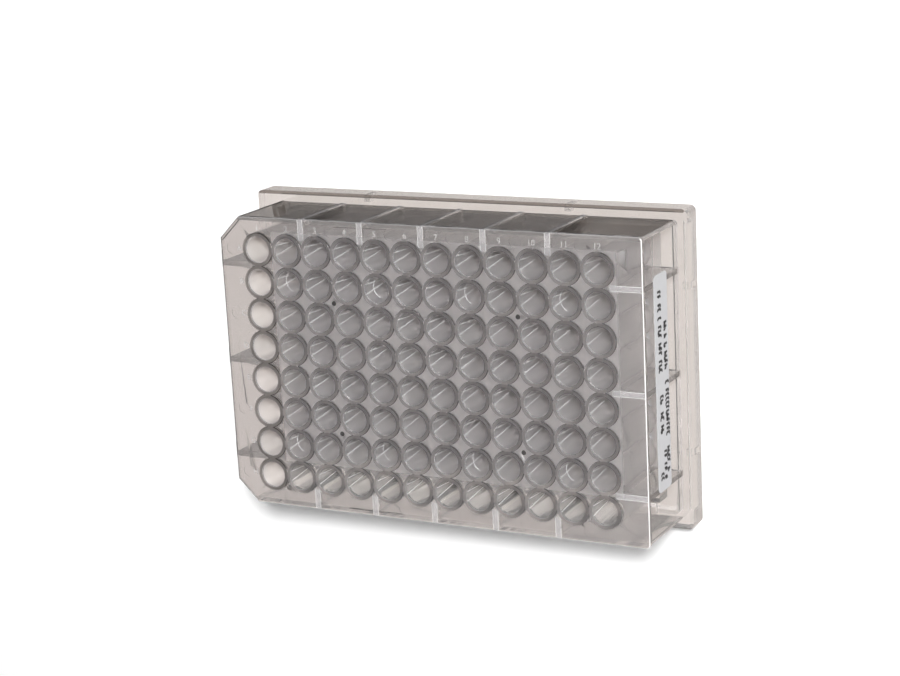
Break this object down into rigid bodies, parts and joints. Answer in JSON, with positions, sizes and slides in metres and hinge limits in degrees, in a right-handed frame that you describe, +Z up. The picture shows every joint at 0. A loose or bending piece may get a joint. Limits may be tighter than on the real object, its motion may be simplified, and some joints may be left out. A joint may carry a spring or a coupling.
{
  "type": "well plate",
  "caption": "Clear moulded well plate with deep round wells, two cut deck corners, rib-braced sides, a wide base flange and a paper side label.",
  "frame": {"origin": "centre of the footprint on the base plane", "axes": "+X along the rows from column 1 to the last column, +Y across the rows towards row A, +Z up out of the wells' mouths"},
  "size_m": [0.1278, 0.0854, 0.0309],
  "materials": {
    "clear_plastic": "clear gloss",
    "label_paper": "matte paper"
  },
  "bodies": {
    "root": {"well_plate": "clear_plastic", "side_label": "label_paper"}
  },
  "joints": []
}
